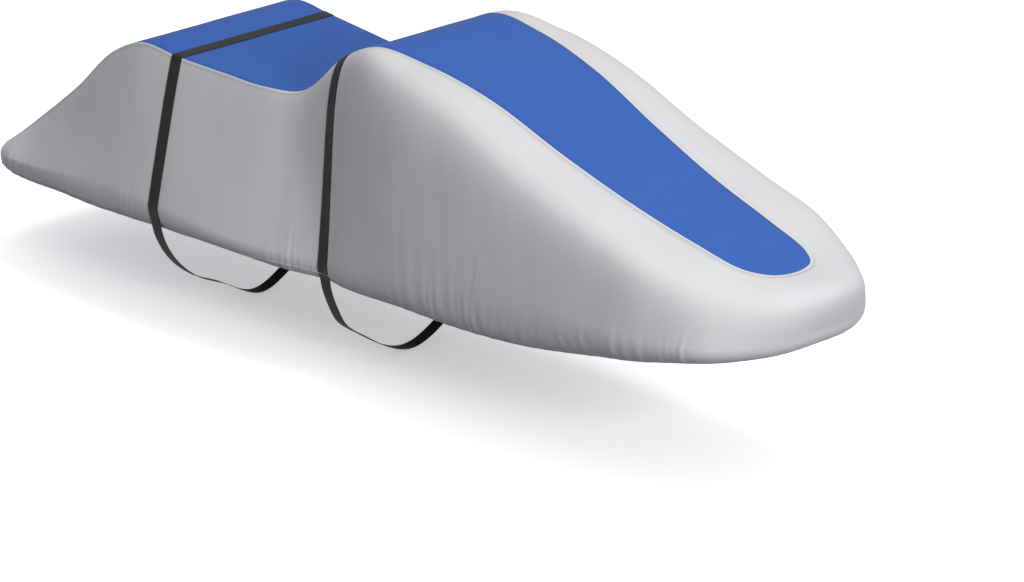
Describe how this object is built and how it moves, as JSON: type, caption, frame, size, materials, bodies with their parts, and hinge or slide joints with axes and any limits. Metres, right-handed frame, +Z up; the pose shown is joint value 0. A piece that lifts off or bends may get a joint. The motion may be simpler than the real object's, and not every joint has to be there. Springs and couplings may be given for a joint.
{
  "type": "personal watercraft cover",
  "caption": "Fitted storage cover for a sit-on watercraft: long hooded cloth shell with a raised hood, contrasting top panel, gathered hem and webbing tie-downs closing under the hull.",
  "frame": {"origin": "underside of the top panel over the seat, on the centre line", "axes": "+X towards the bow, +Y to port, +Z up; -Y is the starboard side"},
  "size_m": [3.5052, 0.8878, 1.0933],
  "materials": {
    "blue_cloth": "coated woven polyester, matt with a soft sheen",
    "grey_cloth": "coated woven polyester, silver grey, matt with a soft sheen",
    "webbing_rear": "flat woven webbing, charcoal, matt",
    "webbing_front": "flat woven webbing, charcoal, matt"
  },
  "bodies": {
    "root": {"top_panel": "blue_cloth", "side_skirt": "grey_cloth", "strap_rear": "webbing_rear", "strap_front": "webbing_front"}
  },
  "joints": []
}
